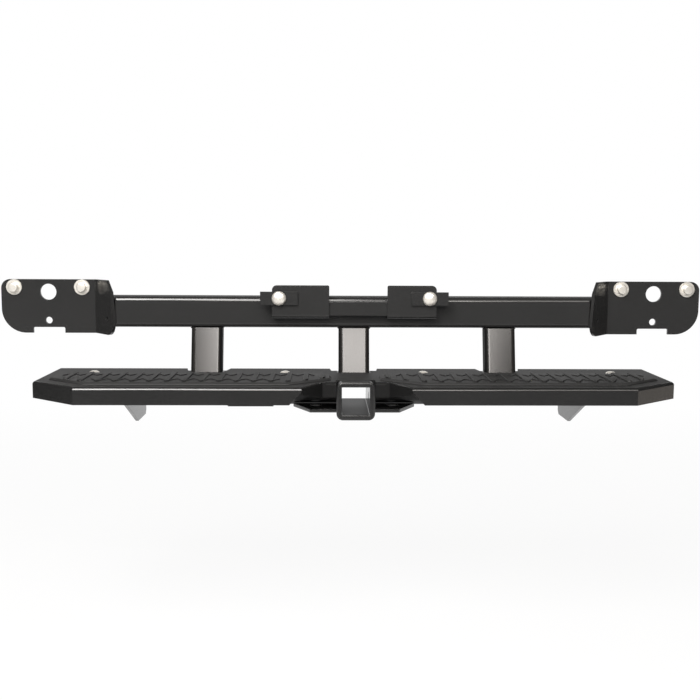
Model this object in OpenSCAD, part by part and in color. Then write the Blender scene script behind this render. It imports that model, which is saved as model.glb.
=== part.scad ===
// Rear step with a receiver hitch, carried below a square crossbar.
// The frame's origin is the centre of the hitch pin's cross hole. The front of
// the step looks along -Y, the vehicle is on the +Y side, and +Z is up.

/* [Receiver] */
// Inside width and height of the receiver tube
receiver_bore = 51; // [49:0.5:56]
// Wall of the receiver tube
receiver_wall = 6.25; // [5:0.25:8]
// Length of the receiver tube
receiver_length = 190; // [180:5:240]
// Distance from the mouth to the centre of the pin hole
pin_from_mouth = 63.5; // [55:0.5:72]
// Diameter of the pin's cross hole
pin_hole_d = 16.3; // [14:0.1:19]
// Wall of the collar round the mouth
collar_wall = 3.5; // [2:0.5:7]
// Length of the collar
collar_length = 25; // [18:1:30]
// Radius of the collar's outer corners
collar_corner_r = 12; // [4:0.5:14]

/* [Chain plates] */
// Thickness of the chain plates
chain_plate_t = 7; // [7:0.5:9]
// Half width of the plates at their front edge
chain_front_x = 84.5; // [80:0.5:95]
// Half width of the plates where they meet the crossmembers
chain_rear_x = 118; // [108:1:125]
// Depth of the plates, front edge to crossmember
chain_depth = 66.5; // [60:0.5:72]
// Diameter of the chain holes
chain_hole_d = 24; // [16:0.5:26]
// Distance of a chain hole from the middle
chain_hole_x = 74; // [68:0.5:76]

/* [Lower frame] */
// Side of the square frame tube
frame_tube = 60; // [50:1:62]
// Wall of the square frame tube
frame_wall = 4; // [2.5:0.5:5]
// Outer corner radius of the square frame tube
frame_corner_r = 9; // [5.5:0.5:10]
// Distance from the step's side edge to the gussets' inner face
gusset_side_gap = 173; // [150:1:200]
// Thickness of the gussets
gusset_t = 6; // [4:0.5:8]
// Drop of a gusset's foot below the middle of the receiver
gusset_foot = 54; // [44:1:60]
// Leg of the angle rail that holds the step's bolts
rail_leg = 30; // [24:1:34]
// Thickness of the angle rail
rail_t = 4; // [3:0.5:5]
// Distance from the step's side edge to the rails' outer end
rail_side_gap = 40; // [28:1:60]

/* [Posts] */
// Distance from the middle to a side post's centre
post_x = 287; // [270:1:300]
// Depth of the posts' tube, front to rear
post_tube_depth = 40; // [30:1:60]
// Front of the posts' feet behind the pin hole
post_foot_y = 65; // [62:0.5:68]
// Backward lean of the posts from foot to crossbar
post_lean = 12.7; // [6:0.1:18]
// Height of the posts
post_height = 88.75; // [70:0.25:160]

/* [End brackets] */
// Thickness of the folded end brackets
bracket_t = 6; // [4:0.5:8]
// Height of the end brackets
bracket_h = 107; // [100:1:120]
// Distance that the end brackets reach below the crossbar
bracket_drop = 17; // [12:1:24]
// Distance from the middle to the bend of an end bracket
bracket_bend_x = 515; // [480:1:560]
// Width of the flat plate outside the bend
bracket_plate_w = 186; // [176:1:200]
// Length of the slanted flange that caps the crossbar
bracket_flange = 76; // [74:1:90]
// Angle of the slanted flange from the plate
bracket_angle = 52; // [42:1:60]
// Radius of the plate's top outer corner
bracket_top_r = 18; // [12:1:24]
// Radius of the plate's bottom outer corner
bracket_low_r = 48; // [30:1:54]
// Distance between the two bolts of one end bracket
end_bolt_pitch = 134; // [120:1:140]
// Thread diameter of the end bolts
end_bolt_d = 12; // [10:1:14]
// Length of an end bolt behind the plate
end_bolt_reach = 34; // [20:1:50]
// Diameter of the end bolts' washers
end_washer_d = 31; // [26:0.5:34]
// Diameter of the end bolts' heads
end_head_d = 19; // [17:0.5:22]
// Diameter of the access hole
access_hole_d = 32; // [24:1:36]
// Diameter of the locating hole
locating_hole_d = 13.5; // [8:0.5:16]
// Width of the notch in the plate's lower edge
bracket_notch_w = 63; // [50:1:70]
// Depth of the notch in the plate's lower edge
bracket_notch_h = 11.5; // [6:0.5:14]

/* [Centre brackets] */
// Thickness of the centre brackets
centre_t = 5; // [4:0.5:7]
// Distance from the middle to the brackets' outer edge
centre_outer_x = 158.5; // [155:0.5:170]
// Distance from the middle to the left bracket's inner edge
centre_left_x = 48.5; // [40:0.5:70]
// Distance from the middle to the right bracket's inner edge
centre_right_x = 63.5; // [40:0.5:70]
// Height of the centre brackets
centre_h = 63.5; // [58:0.5:72]
// Top of the centre brackets above the crossbar
centre_rise = 24; // [18:0.5:32]
// Depth of the bar that the centre brackets are welded to
mount_bar_depth = 20; // [18:0.5:26]
// Half length of that bar
mount_bar_x = 120; // [100:1:124]
// Distance from the middle to a strap's bolt
strap_x = 145; // [140:0.5:148]
// Width of a strap
strap_w = 72; // [60:1:76]
// Height of a strap
strap_h = 25.5; // [24:0.5:30]
// Thread diameter of the strap bolts
strap_bolt_d = 12; // [8:1:12]
// Diameter of the strap bolts' domed heads
strap_head_d = 27.5; // [24:0.5:30]

/* [Step] */
// Overall width of the step
step_w = 1170; // [1150:1:1240]
// Width of the step's straight front
step_front_w = 988; // [960:1:1020]
// Distance that the step reaches ahead of the receiver's mouth
step_overhang = 69; // [60:1:80]
// Depth of the step, front to rear
step_depth = 250.5; // [240:0.5:260]
// Depth of the step's slanted front corners
step_corner_depth = 77; // [60:1:90]
// Thickness of the step's sheet
sheet_t = 4; // [2:0.5:4]
// Height of the folded skirt with the sheet
skirt_h = 31; // [24:0.5:36]
// Outer radius of the folded edges
bend_r = 6; // [3.5:0.5:6]
// Width of the front recess at the step's front
recess_front_w = 193.5; // [180:0.5:210]
// Width of the front recess at its back
recess_back_w = 122; // [110:1:130]
// Height of the fascia at the back of the recess
fascia_h = 27.5; // [20:0.5:29]
// Distance from the middle to an inner step bolt
step_bolt_in_x = 133; // [128:1:140]
// Distance from the step's side edge to an outer step bolt
step_bolt_side_gap = 87; // [75:1:110]
// Distance of the step bolts behind the pin hole
step_bolt_y = 49.5; // [48:0.5:51]
// Thread diameter of the step bolts
step_bolt_d = 8; // [6:1:10]
// Diameter of the step bolts' domed heads
step_head_d = 19; // [17:0.5:21]

/* [Tread pads] */
// Height of the pads' flat top above the sheet
pad_t = 4; // [3:0.5:6]
// Height of the ribs above the pads' top
rib_h = 2.5; // [1:0.5:4]
// Distance from one rib to the next
rib_pitch = 31; // [26:1:40]
// Width of a rib
rib_w = 9; // [6:0.5:11]
// Distance from the step's front edge to the pads
pad_front_gap = 31; // [24:1:40]
// Depth of the pads, front to rear
pad_depth = 134; // [120:1:140]
// Distance from the middle to the pads' inner end
pad_inner_x = 45; // [40:1:60]
// Distance from the step's side edge to the pads
pad_side_gap = 25.5; // [20:0.5:36]

/* [Socket bracket] */
// Width of the trailer socket's bracket
socket_w = 84; // [76:1:96]
// Distance from the middle to the bracket's centre
socket_x = 193; // [180:1:220]
// Drop of the bracket below the step's sheet
socket_drop = 45; // [42:0.5:52]
// Diameter of the hole for the trailer socket
socket_hole_d = 26; // [20:1:28]

/* [Hidden] */
$fn = 48;

// Colours
black_coat = [0.12, 0.12, 0.12];
dark_coat = [0.16, 0.16, 0.17];
rubber_black = [0.09, 0.09, 0.09];
zinc = [0.82, 0.82, 0.8];

// Clearances, the overrun of a cut, and a length that passes everything
slot_gap = 0.5;
bolt_gap = 0.5;
thread_gap = 0.05;
cut = 1;
far = 2000;

// Shift that lets a slanted part's rounding cross its edges and not just touch them
corner_bite = 0.05;

// Width across flats and height of a nut, as shares of its thread
nut_af_share = 1.6;
nut_h_share = 0.8;

// Receiver
tube_outer = receiver_bore + 2 * receiver_wall;
tube_half = tube_outer / 2;
mouth_y = -pin_from_mouth;
receiver_corner_r = 6.5;
collar_half = tube_half + collar_wall;

// Lower frame
deck_z = tube_half;
gusset_x = step_w / 2 - gusset_side_gap;
rail_end_x = step_w / 2 - rail_side_gap;
gusset_front_gap = 10;
gusset_nose = 16;
gusset_toe = 33;
gusset_heel = 48;
gusset_corner = 8;
gusset_front_y = mouth_y - step_overhang + sheet_t + gusset_front_gap;
gusset_nose_z = deck_z - gusset_nose;
gusset_toe_y = post_foot_y - gusset_toe;
gusset_rear_y = post_foot_y + gusset_heel;
chain_hole_margin = 8;
chain_front_y = post_foot_y - chain_depth;
chain_low_z = -tube_half;
chain_hole_y = post_foot_y - chain_hole_d / 2 - chain_hole_margin;
rail_front_y = post_foot_y - rail_leg;

// Posts and crossbar
post_depth = post_tube_depth / cos(post_lean);
bar_front_y = post_foot_y + post_height * tan(post_lean);
bar_rear_y = bar_front_y + frame_tube;
bar_low_z = deck_z + post_height;
bar_top_z = bar_low_z + frame_tube;

// End brackets
plate_set_in = 1;
access_hole_margin = 9;
locating_hole_margin = 7;
plate_front_y = bar_rear_y - plate_set_in;
plate_rear_y = plate_front_y + bracket_t;
plate_low_z = bar_low_z - bracket_drop;
plate_top_z = plate_low_z + bracket_h;
plate_end_x = bracket_bend_x + bracket_plate_w;
plate_mid_x = bracket_bend_x + bracket_plate_w / 2;
bracket_fold_r = 4;
bracket_fold_run = bracket_fold_r * tan(bracket_angle / 2);
fold_x = bracket_bend_x + bracket_fold_run;
flange_flat_w = bracket_flange - bracket_fold_run;
plate_flat_w = plate_end_x - fold_x;
fold_steps = 8;
flange_cut_run = 26;
flange_cut_rise = 22.5;
flange_taper = 7.5;
flange_taper_rise = 75;
flange_low_r = 24;
end_bolt_z = plate_top_z - end_washer_d / 2;
access_hole_z = plate_top_z - access_hole_d / 2 - access_hole_margin;
locating_hole_z = plate_low_z + bracket_notch_h + locating_hole_d / 2 + locating_hole_margin;
bracket_notch_r = 3;
drain_hole_d = 8;
drain_hole_along = flange_flat_w * 0.65;
drain_hole_up = bracket_h * 0.3;
end_grip_d = end_bolt_d - 1;
end_washer_t = 2.5;
end_head_h = 9;

// Centre brackets
bracket_face_y = bar_front_y - mount_bar_depth - centre_t;
strap_face_y = bracket_face_y - centre_t;
centre_top_z = bar_top_z + centre_rise;
centre_low_z = centre_top_z - centre_h;
centre_corner_r = 9;
centre_fold_r = 6;
mount_bar_h = 27;
strap_drop = 1;
strap_z = bar_top_z - strap_drop;
strap_head_h = 7.5;
strap_nut_af = strap_bolt_d * nut_af_share;
strap_nut_h = strap_bolt_d * nut_h_share;
strap_bolt_tail = 2;

// Step
step_front_y = mouth_y - step_overhang;
step_rear_y = step_front_y + step_depth;
step_top_z = deck_z + sheet_t;
skirt_low_z = step_top_z - skirt_h;
fascia_y = mouth_y - sheet_t;
fascia_low_z = step_top_z - fascia_h;
recess_cut_w = 22;
recess_cut_h = 24;
recess_wall_cut_h = 14.5;
notch_gap = 1.5;
notch_y = post_foot_y - notch_gap;
step_bolt_out_x = step_w / 2 - step_bolt_side_gap;
step_head_h = 5;
step_nut_af = step_bolt_d * nut_af_share;
step_nut_h = step_bolt_d * nut_h_share;
step_bolt_tail = 2;

// Half widths of the notches round the posts, at their front and at the rear edge
side_notch = [frame_tube / 2 + 3, frame_tube / 2 + 13];
mid_notch = [frame_tube / 2 + 12, frame_tube / 2 + 17];

// Tread pads
pad_corner_gap = [9, 15];
pad_slant_gap = [23, 59];
pad_heel = [17, 27];
pad_front_y = step_front_y + pad_front_gap;
pad_rear_y = pad_front_y + pad_depth;
pad_outer_x = step_w / 2 - pad_side_gap;
pad_bevel = 4;
pad_land = 1;
pad_sink = 1;
rib_field_gap = 3;
rib_front_y = pad_front_y + pad_bevel + 9;
rib_rear_y = pad_rear_y - pad_bevel - 4;
vee_w = 9;
vee_h = rib_h * 0.6;
vee_run = 26;
vee_margin = 13.5;

// Socket bracket
socket_t = 3;
socket_set_back = 23.5;
socket_y = mouth_y + socket_set_back;
socket_tab = 24;
socket_screw_d = 5.5;
socket_screw_pitch = 60;
socket_hole_z = deck_z - (socket_drop + socket_t) / 2;

// Plan outline of the right half of the step's folded edge, side to fascia
skirt_path = [
    [step_w / 2, step_rear_y],
    [step_w / 2, step_front_y + step_corner_depth],
    [step_front_w / 2, step_front_y],
    [recess_front_w / 2, step_front_y],
    [recess_back_w / 2, fascia_y],
    [0, fascia_y]
];

// Plan outline of the right half of the sheet, round the post's notches
sheet_outline = concat(
    [
        [mid_notch[0], notch_y],
        [mid_notch[1], step_rear_y],
        [post_x - side_notch[1], step_rear_y],
        [post_x - side_notch[0], notch_y],
        [post_x + side_notch[0], notch_y],
        [post_x + side_notch[1], step_rear_y]
    ],
    [for (i = [0:4]) skirt_path[i]]
);

// Plan outline of the right tread pad
pad_outline = [
    [pad_inner_x, pad_rear_y - pad_heel[1]],
    [pad_inner_x + pad_heel[0], pad_rear_y],
    [pad_outer_x, pad_rear_y],
    [pad_outer_x, step_front_y + step_corner_depth + pad_corner_gap[1]],
    [step_front_w / 2 - pad_corner_gap[0], pad_front_y],
    [recess_front_w / 2 + pad_slant_gap[0], pad_front_y],
    [pad_inner_x, pad_front_y + pad_slant_gap[1]]
];

function unit(v) = v / norm(v);
function right_of(v) = [v[1], -v[0]];
function turn(a, b) = a[0] * b[1] - a[1] * b[0];
function heading(a, b) = atan2(b[1] - a[1], b[0] - a[0]);
function mirror_x(p) = [for (i = [len(p) - 1:-1:0]) [-p[i][0], p[i][1]]];

// Points along an arc about the origin, in the steps of a sheet's fold
function arc(r, start, end) =
    [for (i = [0:fold_steps]) let (a = start + (end - start) * i / fold_steps) r * [cos(a), sin(a)]];

// Inward normal of the edge that leaves point i of a clockwise path
function edge_normal(p, i) = right_of(unit(following(p, i) - p[i]));
function previous(p, i) = (i + len(p) - 1) % len(p);
function following(p, i) = p[(i + 1) % len(p)];
function mitre(a, b) = (a + b) / (1 + a * b);

// Point i of an open path moved inward by t, mitred at its corners
function open_inset(p, i, t) =
    p[i] + t * (i == 0 ? edge_normal(p, 0)
        : i == len(p) - 1 ? edge_normal(p, i - 1)
        : mitre(edge_normal(p, i - 1), edge_normal(p, i)));

function closed_inset(p, t) =
    [for (i = [0:len(p) - 1]) p[i] + t * mitre(edge_normal(p, previous(p, i)), edge_normal(p, i))];

// Whether point i of an open clockwise path is an outward corner or an end
function is_open_corner(p, i) =
    i == 0 || i == len(p) - 1 || turn(p[i] - p[i - 1], p[i + 1] - p[i]) < 0;

// How far the rounded fold of an edge runs past the point that ends it. It stops
// short of an inward corner, which can't be folded
function fold_over(j) = is_open_corner(skirt_path, j) ? bend_r : -bend_r;

// Plan corner of the fold cutter of edge i near point j of the path, t inside the edge
function fold_corner(i, j, t) =
    skirt_path[j] + t * edge_normal(skirt_path, i)
        + (j == i ? -1 : 1) * fold_over(j) * unit(skirt_path[i + 1] - skirt_path[i]);

// X at which the slanted flange's inner face crosses a given Y
function flange_inner_x(y) =
    bracket_bend_x - bracket_t * tan(bracket_angle / 2) - (plate_rear_y - y) / tan(bracket_angle);

// Builds its children for the right side, and mirrored for the left
module on_side(side) {
    mirror([side < 0 ? 1 : 0, 0, 0]) children();
}

// The sliver between a square corner at the origin and its rounding
module corner_cut(r) {
    difference() {
        translate([-cut, -cut]) square(r + cut);
        translate([r, r]) circle(r);
    }
}

module rounded_rectangle(width, depth, r) {
    difference() {
        square([width, depth], center = true);
        for (a = [0, 180]) {
            rotate(a) translate([-width / 2, -depth / 2]) corner_cut(r);
            rotate(a + 90) translate([-depth / 2, -width / 2]) corner_cut(r);
        }
    }
}

module rectangular_tube(width, depth, wall, r, length) {
    linear_extrude(length)
        difference() {
            rounded_rectangle(width, depth, r);
            rounded_rectangle(width - 2 * wall, depth - 2 * wall, max(r - wall, 1));
        }
}

module square_tube(size, wall, r, length) {
    rectangular_tube(size, size, wall, r, length);
}

// Domed head on the XY plane, pointing up
module domed_head(d, h) {
    ball_r = (d * d / 4 + h * h) / (2 * h);
    rotate_extrude()
        intersection() {
            translate([0, h - ball_r]) circle(ball_r, $fn = 96);
            square([d / 2, h]);
        }
}

// Flat-topped round head with a rounded rim, pointing up
module button_head(d, h, r) {
    rotate_extrude()
        difference() {
            square([d / 2, h]);
            translate([d / 2, h]) rotate(180) corner_cut(r);
        }
}

// Hexagon nut that hangs below the XY plane
module nut(af, h, bore_d) {
    difference() {
        translate([0, 0, -h]) cylinder(h = h, d = af / cos(30), $fn = 6);
        translate([0, 0, -h - cut]) cylinder(h = h + 2 * cut, d = bore_d + 2 * thread_gap);
    }
}

// Places its children on a face at Y = y, with their +Z pointing along -Y
module on_front(x, y, z) {
    translate([x, y, z]) rotate([90, 0, 0]) children();
}

// Square tube that closes the top of the frame, mitred under the end brackets
module crossbar() {
    color(black_coat)
        difference() {
            translate([-far / 2, (bar_front_y + bar_rear_y) / 2, (bar_low_z + bar_top_z) / 2])
                rotate([90, 0, 90]) square_tube(frame_tube, frame_wall, frame_corner_r, far);
            for (side = [-1, 1])
                on_side(side)
                    translate([flange_inner_x(bar_front_y), bar_front_y, bar_low_z - cut])
                        rotate([0, 0, bracket_angle]) translate([-far, -far, 0])
                            cube([2 * far, far, frame_tube + 2 * cut]);
        }
}

// Plan section of an end bracket about the centre of its fold, as one bent strip
module end_bracket_section() {
    outer_r = bracket_fold_r + bracket_t;
    flange_end = 90 + bracket_angle;
    flange_run = -flange_flat_w * [cos(bracket_angle), sin(bracket_angle)];
    polygon(concat(
        [[plate_flat_w, outer_r]],
        arc(outer_r, 90, flange_end),
        [outer_r * [cos(flange_end), sin(flange_end)] + flange_run],
        [bracket_fold_r * [cos(flange_end), sin(flange_end)] + flange_run],
        arc(bracket_fold_r, flange_end, 90),
        [[plate_flat_w, bracket_fold_r]]
    ));
}

// What is cut from the flat plate, X running from the fold to the free end
module end_plate_cuts() {
    middle = plate_mid_x - fold_x;
    translate([plate_flat_w, bracket_h]) rotate(180) corner_cut(bracket_top_r);
    translate([plate_flat_w, 0]) rotate(90) corner_cut(bracket_low_r);
    difference() {
        translate([middle - bracket_notch_w / 2, -cut])
            square([bracket_notch_w, bracket_notch_h + cut]);
        translate([middle - bracket_notch_w / 2, bracket_notch_h])
            rotate(-90) corner_cut(bracket_notch_r);
        translate([middle + bracket_notch_w / 2, bracket_notch_h])
            rotate(180) corner_cut(bracket_notch_r);
    }
    for (k = [-0.5, 0.5])
        translate([middle + k * end_bolt_pitch, end_bolt_z - plate_low_z])
            circle(d = end_bolt_d + 2 * bolt_gap);
    translate([middle, access_hole_z - plate_low_z]) circle(d = access_hole_d);
    translate([middle, locating_hole_z - plate_low_z]) circle(d = locating_hole_d);
}

// What is cut from the slanted flange, X running from the fold to the free end
module end_flange_cuts() {
    translate([flange_flat_w, bracket_h])
        polygon([
            [flange_taper - 2 * flange_cut_run, flange_cut_rise],
            [-flange_taper, -flange_cut_rise],
            [flange_taper, flange_cut_rise - 2 * flange_taper_rise],
            [flange_taper, flange_cut_rise]
        ]);
    translate([flange_flat_w + corner_bite, -corner_bite]) rotate(90) corner_cut(flange_low_r);
    translate([drain_hole_along, drain_hole_up]) circle(d = drain_hole_d);
}

module end_bracket(side) {
    color(dark_coat)
        on_side(side)
            translate([fold_x, plate_front_y - bracket_fold_r, plate_low_z])
                difference() {
                    linear_extrude(bracket_h) end_bracket_section();
                    on_front(0, bracket_fold_r + bracket_t + cut, 0)
                        linear_extrude(bracket_t + 2 * cut) end_plate_cuts();
                    rotate([0, 0, 180 + bracket_angle])
                        on_front(0, cut - bracket_fold_r, 0)
                            linear_extrude(bracket_t + 2 * cut) end_flange_cuts();
                }
}

module at_end_bolts(side) {
    on_side(side)
        for (k = [-0.5, 0.5])
            on_front(plate_mid_x + k * end_bolt_pitch, plate_front_y, end_bolt_z) children();
}

module end_washers(side) {
    color(zinc)
        at_end_bolts(side)
            difference() {
                cylinder(h = end_washer_t, d = end_washer_d);
                translate([0, 0, -cut])
                    cylinder(h = end_washer_t + 2 * cut, d = end_bolt_d + 2 * bolt_gap);
            }
}

// Round-headed bolts, waisted inside the plate and full size behind it
module end_bolts(side) {
    color(zinc)
        at_end_bolts(side) {
            translate([0, 0, end_washer_t]) button_head(end_head_d, end_head_h, end_head_h / 3);
            translate([0, 0, -bracket_t]) cylinder(h = bracket_t + end_washer_t, d = end_grip_d);
            translate([0, 0, -bracket_t - end_bolt_reach]) cylinder(h = end_bolt_reach, d = end_bolt_d);
        }
}

// Solid bar on the crossbar's face that the two centre brackets are welded to
module mount_bar() {
    color(black_coat)
        translate([-mount_bar_x, bar_front_y - mount_bar_depth, centre_low_z + centre_t])
            cube([2 * mount_bar_x, mount_bar_depth, mount_bar_h]);
}

// Folded angle: an upright plate with a short leg back to the crossbar
module centre_bracket(side, inner_x) {
    leg = bar_front_y - bracket_face_y;
    width = centre_outer_x - inner_x;
    color(dark_coat)
        on_side(side)
            difference() {
                translate([inner_x, bracket_face_y, centre_low_z])
                    rotate([90, 0, 90]) linear_extrude(width)
                        difference() {
                            union() {
                                square([centre_t, centre_h]);
                                square([leg, centre_t]);
                            }
                            corner_cut(centre_fold_r);
                        }
                on_front(0, bar_front_y, 0) linear_extrude(far) {
                    translate([centre_outer_x, centre_top_z]) rotate(180) corner_cut(centre_corner_r);
                    translate([inner_x, centre_top_z]) rotate(-90) corner_cut(centre_corner_r / 3);
                }
                on_front(strap_x, bar_front_y, strap_z)
                    cylinder(h = far, d = strap_bolt_d + 2 * bolt_gap);
            }
}

module strap(side) {
    color(dark_coat)
        on_side(side)
            on_front(strap_x, bracket_face_y, strap_z)
                difference() {
                    translate([-strap_w / 2, -strap_h / 2, 0]) cube([strap_w, strap_h, centre_t]);
                    translate([0, 0, -cut])
                        cylinder(h = centre_t + 2 * cut, d = strap_bolt_d + 2 * bolt_gap);
                }
}

module strap_bolts() {
    shank = 2 * centre_t + strap_nut_h + strap_bolt_tail;
    color(zinc)
        for (side = [-1, 1])
            on_front(side * strap_x, strap_face_y, strap_z) {
                domed_head(strap_head_d, strap_head_h);
                translate([0, 0, -shank]) cylinder(h = shank + cut, d = strap_bolt_d);
            }
}

module strap_nuts() {
    color(zinc)
        for (side = [-1, 1])
            on_front(side * strap_x, bracket_face_y + centre_t, strap_z)
                nut(strap_nut_af, strap_nut_h, strap_bolt_d);
}

// Leaning flat-sided tube, cut level at its foot and under the crossbar
module post(x) {
    color(dark_coat)
        intersection() {
            translate([x, post_foot_y + post_depth / 2, deck_z])
                rotate([-post_lean, 0, 0])
                    translate([0, 0, -frame_tube])
                        rectangular_tube(frame_tube, post_tube_depth, frame_wall, frame_corner_r,
                            post_height + 3 * frame_tube);
            translate([x - frame_tube, post_foot_y - frame_tube, deck_z])
                cube([2 * frame_tube, 4 * frame_tube, post_height]);
        }
}

// Square socket for a drawbar, open at both ends, with the pin's cross hole
module receiver_tube() {
    color(black_coat)
        difference() {
            on_front(0, mouth_y + receiver_length, 0)
                square_tube(tube_outer, receiver_wall, receiver_corner_r, receiver_length);
            rotate([0, 90, 0]) cylinder(h = 2 * tube_outer, d = pin_hole_d, center = true);
        }
}

module receiver_collar() {
    color(black_coat)
        on_front(0, mouth_y + collar_length, 0)
            linear_extrude(collar_length)
                difference() {
                    rounded_rectangle(2 * collar_half, 2 * collar_half, collar_corner_r);
                    rounded_rectangle(tube_outer, tube_outer, receiver_corner_r);
                }
}

module chain_plate(side) {
    color(black_coat)
        on_side(side)
            translate([0, 0, chain_low_z])
                linear_extrude(chain_plate_t)
                    difference() {
                        polygon([
                            [tube_half, chain_front_y],
                            [chain_front_x, chain_front_y],
                            [chain_rear_x, post_foot_y],
                            [tube_half, post_foot_y]
                        ]);
                        translate([chain_hole_x, chain_hole_y]) circle(d = chain_hole_d);
                    }
}

// Square tube from the receiver's side to the gusset
module crossmember(side) {
    color(black_coat)
        on_side(side)
            translate([tube_half, post_foot_y + frame_tube / 2, deck_z - frame_tube / 2])
                rotate([90, 0, 90])
                    square_tube(frame_tube, frame_wall, frame_corner_r, gusset_x - tube_half);
}

// Upright plate that caps a crossmember and carries the sheet towards the front
module gusset(side) {
    color(dark_coat)
        on_side(side)
            difference() {
                translate([gusset_x, 0, 0])
                    rotate([90, 0, 90]) linear_extrude(gusset_t)
                        polygon([
                            [gusset_front_y, deck_z],
                            [gusset_front_y, gusset_nose_z],
                            [gusset_toe_y, -gusset_foot],
                            [gusset_rear_y - gusset_corner, -gusset_foot],
                            [gusset_rear_y, gusset_corner - gusset_foot],
                            [gusset_rear_y, deck_z]
                        ]);
                translate([gusset_x - cut, rail_front_y - slot_gap, deck_z - rail_t - slot_gap])
                    cube([gusset_t + 2 * cut, rail_leg + slot_gap, far]);
                translate([gusset_x - cut, post_foot_y - rail_t - slot_gap, deck_z - rail_leg - slot_gap])
                    cube([gusset_t + 2 * cut, rail_t + slot_gap, far]);
            }
}

// Angle rail ahead of the crossmember, with the step's bolt holes
module step_rail(side) {
    color(black_coat)
        on_side(side)
            difference() {
                translate([tube_half, post_foot_y, deck_z])
                    rotate([90, 0, 90]) linear_extrude(rail_end_x - tube_half) {
                        translate([-rail_leg, -rail_t]) square([rail_leg, rail_t]);
                        translate([-rail_t, -rail_leg]) square([rail_t, rail_leg]);
                    }
                for (x = [step_bolt_in_x, step_bolt_out_x])
                    translate([x, step_bolt_y, deck_z - rail_leg])
                        cylinder(h = 2 * rail_leg, d = step_bolt_d + 2 * bolt_gap);
            }
}

// One upright wall of the skirt, from point i of the path to the next
module skirt_wall(i, low_z) {
    translate([0, 0, low_z])
        linear_extrude(step_top_z - low_z)
            polygon([
                skirt_path[i],
                skirt_path[i + 1],
                open_inset(skirt_path, i + 1, sheet_t),
                open_inset(skirt_path, i, sheet_t)
            ]);
}

// What the rounded fold leaves off the sheet along edge i of the skirt's path
module fold_cut(i) {
    start = skirt_path[i];
    difference() {
        translate([0, 0, step_top_z - bend_r])
            linear_extrude(bend_r + cut)
                polygon([
                    fold_corner(i, i, -cut),
                    fold_corner(i, i + 1, -cut),
                    fold_corner(i, i + 1, bend_r),
                    fold_corner(i, i, bend_r)
                ]);
        translate([start[0], start[1], step_top_z - bend_r])
            rotate([0, 0, heading(start, skirt_path[i + 1])])
                translate([-2 * bend_r, -bend_r, 0]) rotate([0, 90, 0])
                    cylinder(h = norm(skirt_path[i + 1] - start) + 4 * bend_r, r = bend_r);
    }
}

// Sloping cuts under the two walls that meet at the recess's front corner. The
// front wall's reaches higher
module recess_corner_cut() {
    corner = skirt_path[3];
    back = skirt_path[4];
    run = norm(back - corner);
    translate([corner[0], step_front_y + sheet_t + slot_gap, skirt_low_z])
        rotate([90, 0, 0]) linear_extrude(2 * sheet_t)
            polygon([[-2 * cut, recess_cut_h], [-2 * cut, -cut], [recess_cut_w + cut, -cut],
                [recess_cut_w, 0], [0, recess_cut_h]]);
    translate([corner[0], corner[1], fascia_low_z])
        rotate([0, 0, heading(corner, back)])
            translate([0, cut, 0]) rotate([90, 0, 0]) linear_extrude(2 * sheet_t)
                polygon([[-cut, recess_wall_cut_h], [-cut, -cut - sheet_t], [run, -cut - sheet_t],
                    [run, 0], [0, recess_wall_cut_h]]);
}

// Folded sheet: the step's top with its skirt, recess and notches
module step_plate() {
    color(black_coat)
        difference() {
            union() {
                translate([0, 0, deck_z])
                    linear_extrude(sheet_t) polygon(concat(sheet_outline, mirror_x(sheet_outline)));
                for (side = [-1, 1])
                    on_side(side) {
                        for (i = [0:2])
                            skirt_wall(i, skirt_low_z);
                        for (i = [3:4])
                            skirt_wall(i, fascia_low_z);
                    }
            }
            for (side = [-1, 1])
                on_side(side) {
                    for (i = [0:len(skirt_path) - 2])
                        fold_cut(i);
                    recess_corner_cut();
                    for (x = [step_bolt_in_x, step_bolt_out_x])
                        translate([x, step_bolt_y, deck_z - cut])
                            cylinder(h = sheet_t + 2 * cut, d = step_bolt_d + 2 * bolt_gap);
                }
            translate([-collar_half - slot_gap, step_front_y, -far / 2])
                cube([2 * (collar_half + slot_gap), mouth_y + collar_length + slot_gap - step_front_y,
                    far]);
        }
}

// Raised bars that run front to rear, with pointed ends
module rib_bars() {
    point = rib_w / 2;
    for (x = [pad_inner_x + rib_pitch / 2:rib_pitch:pad_outer_x])
        polygon([
            [x, rib_front_y],
            [x + rib_w / 2, rib_front_y + point],
            [x + rib_w / 2, rib_rear_y - point],
            [x, rib_rear_y],
            [x - rib_w / 2, rib_rear_y - point],
            [x - rib_w / 2, rib_front_y + point]
        ]);
}

// Low zigzag that joins the bars near one end of the pad, pointing along dir
module rib_vees(y, dir) {
    for (x = [pad_inner_x + rib_pitch / 2:rib_pitch:pad_outer_x], k = [-1, 1])
        polygon([
            [x, y],
            [x + k * rib_pitch / 2, y + dir * vee_run],
            [x + k * rib_pitch / 2, y + dir * (vee_run - vee_w)],
            [x, y - dir * vee_w]
        ]);
}

// Moulded tread with bevelled edges and a raised grip pattern
module tread_pad(side) {
    field = closed_inset(pad_outline, pad_bevel + rib_field_gap);
    color(rubber_black)
        on_side(side)
            translate([0, 0, step_top_z])
                union() {
                    hull() {
                        linear_extrude(pad_land) polygon(pad_outline);
                        linear_extrude(pad_t) polygon(closed_inset(pad_outline, pad_bevel));
                    }
                    translate([0, 0, pad_t - pad_sink])
                        linear_extrude(rib_h + pad_sink)
                            intersection() {
                                rib_bars();
                                polygon(field);
                            }
                    translate([0, 0, pad_t - pad_sink])
                        linear_extrude(vee_h + pad_sink)
                            intersection() {
                                union() {
                                    rib_vees(rib_front_y + vee_margin, 1);
                                    rib_vees(rib_rear_y - vee_margin, -1);
                                }
                                polygon(field);
                            }
                }
}

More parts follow.
